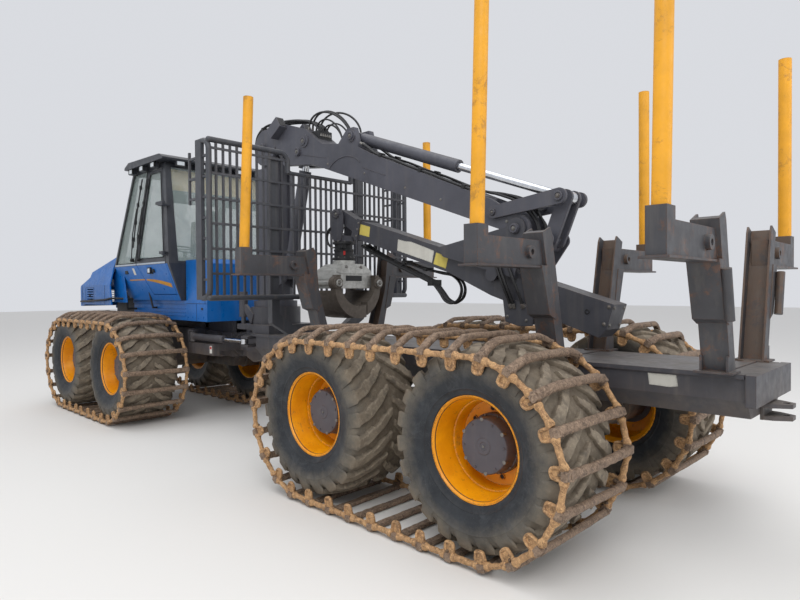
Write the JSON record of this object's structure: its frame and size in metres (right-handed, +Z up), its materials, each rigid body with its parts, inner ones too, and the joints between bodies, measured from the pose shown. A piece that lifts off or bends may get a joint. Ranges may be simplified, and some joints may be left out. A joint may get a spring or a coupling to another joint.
{
  "type": "forestry forwarder",
  "caption": "Articulated forestry forwarder with tracked bogies, cab, hood, staked load frame, headboard and a parked loading crane with grapple.",
  "frame": {"origin": "on the ground, midway along and across the machine", "axes": "+X forward towards the hood, +Y to the left, +Z up"},
  "size_m": [10.4199, 2.994, 3.91],
  "materials": {
    "frame_paint": "worn dark grey paint",
    "blue_paint": "satin blue paint",
    "yellow_paint": "scuffed yellow paint",
    "tyre": "dusty rubber",
    "track_steel": "rusty steel caked with mud",
    "chrome_rod": "polished",
    "glass": "clear tinted glass",
    "seat_fabric": "dark woven cloth",
    "engine_metal": "matt",
    "worn_steel": "bare worn steel",
    "claw_steel": "worn dark steel"
  },
  "bodies": {
    "rear_frame": {"rear_frame": "frame_paint", "frame_neck": "frame_paint", "hitch_jaws": "frame_paint", "bunk_front": "frame_paint", "bunk_middle": "frame_paint", "bunk_rear": "frame_paint", "stakes": "yellow_paint", "headboard": "frame_paint", "crane_base": "frame_paint"},
    "centre_joint": {"centre_joint": "frame_paint"},
    "front_frame": {"front_frame": "frame_paint", "engine": "engine_metal", "body_panels": "blue_paint", "cab": "frame_paint", "cab_glass": "glass", "cab_roof": "frame_paint", "seat": "seat_fabric"},
    "cab_door": {"cab_door": "blue_paint", "door_glass": "glass"},
    "hood": {"hood": "blue_paint"},
    "rear_left_bogie": {"rear_left_bogie": "frame_paint", "rear_left_track": "track_steel"},
    "rear_right_bogie": {"rear_right_bogie": "frame_paint", "rear_right_track": "track_steel"},
    "front_left_bogie": {"front_left_bogie": "frame_paint", "front_left_track": "track_steel"},
    "front_right_bogie": {"front_right_bogie": "frame_paint", "front_right_track": "track_steel"},
    "wheel_1_left": {"wheel_1_left": "tyre"},
    "wheel_1_right": {"wheel_1_right": "tyre"},
    "wheel_2_left": {"wheel_2_left": "tyre"},
    "wheel_2_right": {"wheel_2_right": "tyre"},
    "wheel_3_left": {"wheel_3_left": "tyre"},
    "wheel_3_right": {"wheel_3_right": "tyre"},
    "wheel_4_left": {"wheel_4_left": "tyre"},
    "wheel_4_right": {"wheel_4_right": "tyre"},
    "steer_barrel_left": {"steer_barrel_left": "frame_paint"},
    "steer_rod_left": {"steer_rod_left": "chrome_rod"},
    "steer_barrel_right": {"steer_barrel_right": "frame_paint"},
    "steer_rod_right": {"steer_rod_right": "chrome_rod"},
    "pillar": {"pillar": "frame_paint"},
    "boom": {"boom": "frame_paint"},
    "stick": {"stick": "frame_paint"},
    "extension": {"extension": "frame_paint"},
    "lift_barrel": {"lift_barrel": "frame_paint"},
    "lift_rod": {"lift_rod": "chrome_rod"},
    "stick_barrel": {"stick_barrel": "frame_paint"},
    "stick_rod": {"stick_rod": "chrome_rod"},
    "knuckle_rocker": {"knuckle_rocker": "frame_paint"},
    "knuckle_tie": {"knuckle_tie": "frame_paint"},
    "tip_link": {"tip_link": "frame_paint"},
    "grapple_head": {"grapple_head": "worn_steel"},
    "claw_left": {"claw_left": "claw_steel"},
    "claw_right": {"claw_right": "claw_steel"}
  },
  "joints": [
    {"name": "steering", "type": "hinge", "parent": "rear_frame", "child": "centre_joint", "pos_m": [1.2, 0, 1.08], "axis": [0, 0, 1], "range_deg": [-42, 42]},
    {"name": "frame_roll", "type": "hinge", "parent": "centre_joint", "child": "front_frame", "pos_m": [1.4, 0, 1.08], "axis": [1, 0, 0], "range_deg": [-15, 15]},
    {"name": "rear_left_bogie_tilt", "type": "hinge", "parent": "rear_frame", "child": "rear_left_bogie", "pos_m": [-2.8, 0.58, 0.765], "axis": [0, 1, 0], "range_deg": [-15, 15]},
    {"name": "rear_right_bogie_tilt", "type": "hinge", "parent": "rear_frame", "child": "rear_right_bogie", "pos_m": [-2.8, -0.58, 0.765], "axis": [0, 1, 0], "range_deg": [-15, 15]},
    {"name": "front_left_bogie_tilt", "type": "hinge", "parent": "front_frame", "child": "front_left_bogie", "pos_m": [3.434, 0.58, 0.765], "axis": [0, 1, 0], "range_deg": [-4.5, 4.5]},
    {"name": "front_right_bogie_tilt", "type": "hinge", "parent": "front_frame", "child": "front_right_bogie", "pos_m": [3.434, -0.58, 0.765], "axis": [0, 1, 0], "range_deg": [-4.5, 4.5]},
    {"name": "wheel_1_left_spin", "type": "hinge", "parent": "front_left_bogie", "child": "wheel_1_left", "pos_m": [4.294, 1.085, 0.765], "axis": [0, 1, 0], "continuous": true},
    {"name": "wheel_1_right_spin", "type": "hinge", "parent": "front_right_bogie", "child": "wheel_1_right", "pos_m": [4.294, -1.085, 0.765], "axis": [0, 1, 0], "continuous": true},
    {"name": "wheel_2_left_spin", "type": "hinge", "parent": "front_left_bogie", "child": "wheel_2_left", "pos_m": [2.574, 1.085, 0.765], "axis": [0, 1, 0], "continuous": true},
    {"name": "wheel_2_right_spin", "type": "hinge", "parent": "front_right_bogie", "child": "wheel_2_right", "pos_m": [2.574, -1.085, 0.765], "axis": [0, 1, 0], "continuous": true},
    {"name": "wheel_3_left_spin", "type": "hinge", "parent": "rear_left_bogie", "child": "wheel_3_left", "pos_m": [-1.94, 1.085, 0.765], "axis": [0, 1, 0], "continuous": true},
    {"name": "wheel_3_right_spin", "type": "hinge", "parent": "rear_right_bogie", "child": "wheel_3_right", "pos_m": [-1.94, -1.085, 0.765], "axis": [0, 1, 0], "continuous": true},
    {"name": "wheel_4_left_spin", "type": "hinge", "parent": "rear_left_bogie", "child": "wheel_4_left", "pos_m": [-3.66, 1.085, 0.765], "axis": [0, 1, 0], "continuous": true},
    {"name": "wheel_4_right_spin", "type": "hinge", "parent": "rear_right_bogie", "child": "wheel_4_right", "pos_m": [-3.66, -1.085, 0.765], "axis": [0, 1, 0], "continuous": true},
    {"name": "cab_door_swing", "type": "hinge", "parent": "front_frame", "child": "cab_door", "pos_m": [1.96, 0.9, 2.56], "axis": [0, 0, 1], "range_deg": [0, 75]},
    {"name": "hood_tilt", "type": "hinge", "parent": "front_frame", "child": "hood", "pos_m": [5.045, 0, 1.565], "axis": [0, 1, 0], "range_deg": [0, 60]},
    {"name": "steer_barrel_left_swing", "type": "hinge", "parent": "centre_joint", "child": "steer_barrel_left", "pos_m": [1.95, 0.475, 1.19], "axis": [0, 0, 1], "range_deg": [-18.2, 18.2]},
    {"name": "steer_rod_left_slide", "type": "slide", "parent": "steer_barrel_left", "child": "steer_rod_left", "axis": [-1, 0, 0], "range_m": [-0.342, 0.342]},
    {"name": "steer_barrel_right_swing", "type": "hinge", "parent": "centre_joint", "child": "steer_barrel_right", "pos_m": [1.95, -0.475, 1.19], "axis": [0, 0, 1], "range_deg": [-18.2, 18.2]},
    {"name": "steer_rod_right_slide", "type": "slide", "parent": "steer_barrel_right", "child": "steer_rod_right", "axis": [-1, 0, 0], "range_m": [-0.342, 0.342]},
    {"name": "crane_slew", "type": "hinge", "parent": "rear_frame", "child": "pillar", "pos_m": [0.62, 0, 1.62], "axis": [0, 0, 1], "range_deg": [-3, 3]},
    {"name": "crane_lift", "type": "hinge", "parent": "pillar", "child": "boom", "pos_m": [0.62, 0, 3.68], "axis": [0, 1, 0], "range_deg": [0, 62]},
    {"name": "stick_fold", "type": "hinge", "parent": "boom", "child": "stick", "pos_m": [-3.206, 0, 2.347], "axis": [0, 1, 0], "range_deg": [0, 43.5]},
    {"name": "extension_slide", "type": "slide", "parent": "stick", "child": "extension", "axis": [0.9558, 0, 0.294], "range_m": [0, 0.601]},
    {"name": "lift_barrel_swing", "type": "hinge", "parent": "pillar", "child": "lift_barrel", "pos_m": [0.31, 0, 2.04], "axis": [0, 1, 0], "range_deg": [0, 11]},
    {"name": "lift_rod_slide", "type": "slide", "parent": "lift_barrel", "child": "lift_rod", "axis": [-0.2687, 0, 0.9632], "range_m": [0, 0.678]},
    {"name": "stick_barrel_swing", "type": "hinge", "parent": "boom", "child": "stick_barrel", "pos_m": [-1.071, 0, 3.527], "axis": [0, 1, 0], "range_deg": [0, 4.5]},
    {"name": "stick_rod_slide", "type": "slide", "parent": "stick_barrel", "child": "stick_rod", "axis": [-0.9375, 0, -0.3481], "range_m": [-0.151, 0]},
    {"name": "knuckle_rocker_swing", "type": "hinge", "parent": "boom", "child": "knuckle_rocker", "pos_m": [-2.977, 0, 2.508], "axis": [0, 1, 0], "range_deg": [0, 22.9]},
    {"name": "knuckle_tie_swing", "type": "hinge", "parent": "stick", "child": "knuckle_tie", "pos_m": [-3.295, 0, 1.982], "axis": [0, 1, 0], "range_deg": [-16.8, 0]},
    {"name": "tip_link_swing", "type": "hinge", "parent": "extension", "child": "tip_link", "pos_m": [-0.757, 0, 2.7], "axis": [0, 1, 0], "range_deg": [-105.6, 0]},
    {"name": "rotator_turn", "type": "hinge", "parent": "tip_link", "child": "grapple_head", "pos_m": [-0.757, 0, 2.17], "axis": [0, 0, 1], "range_deg": [-8, 8]},
    {"name": "claw_left_open", "type": "hinge", "parent": "grapple_head", "child": "claw_left", "pos_m": [-0.757, 0.304, 1.91], "axis": [1, 0, 0], "range_deg": [0, 43.5]},
    {"name": "claw_right_open", "type": "hinge", "parent": "grapple_head", "child": "claw_right", "pos_m": [-0.757, -0.304, 1.91], "axis": [1, 0, 0], "range_deg": [-43.5, 0]}
  ],
  "couplings": [
    {"joint": "steer_barrel_left_swing", "follows": "steering", "ratio": -0.4275},
    {"joint": "steer_rod_left_slide", "follows": "steering", "m_per_rad": -0.46383},
    {"joint": "steer_barrel_right_swing", "follows": "steering", "ratio": -0.4275},
    {"joint": "steer_rod_right_slide", "follows": "steering", "m_per_rad": 0.46383},
    {"joint": "stick_fold", "follows": "crane_lift", "ratio": 0.7},
    {"joint": "extension_slide", "follows": "crane_lift", "m_per_rad": 0.55448},
    {"joint": "lift_barrel_swing", "follows": "crane_lift", "ratio": 0.17661},
    {"joint": "lift_rod_slide", "follows": "crane_lift", "m_per_rad": 0.62563},
    {"joint": "stick_barrel_swing", "follows": "crane_lift", "ratio": 0.0721},
    {"joint": "stick_rod_slide", "follows": "crane_lift", "m_per_rad": -0.13862},
    {"joint": "knuckle_rocker_swing", "follows": "crane_lift", "ratio": 0.3671},
    {"joint": "knuckle_tie_swing", "follows": "crane_lift", "ratio": -0.26806},
    {"joint": "tip_link_swing", "follows": "crane_lift", "ratio": -1.7},
    {"joint": "claw_left_open", "follows": "crane_lift", "ratio": 0.7},
    {"joint": "claw_right_open", "follows": "crane_lift", "ratio": -0.7}
  ]
}
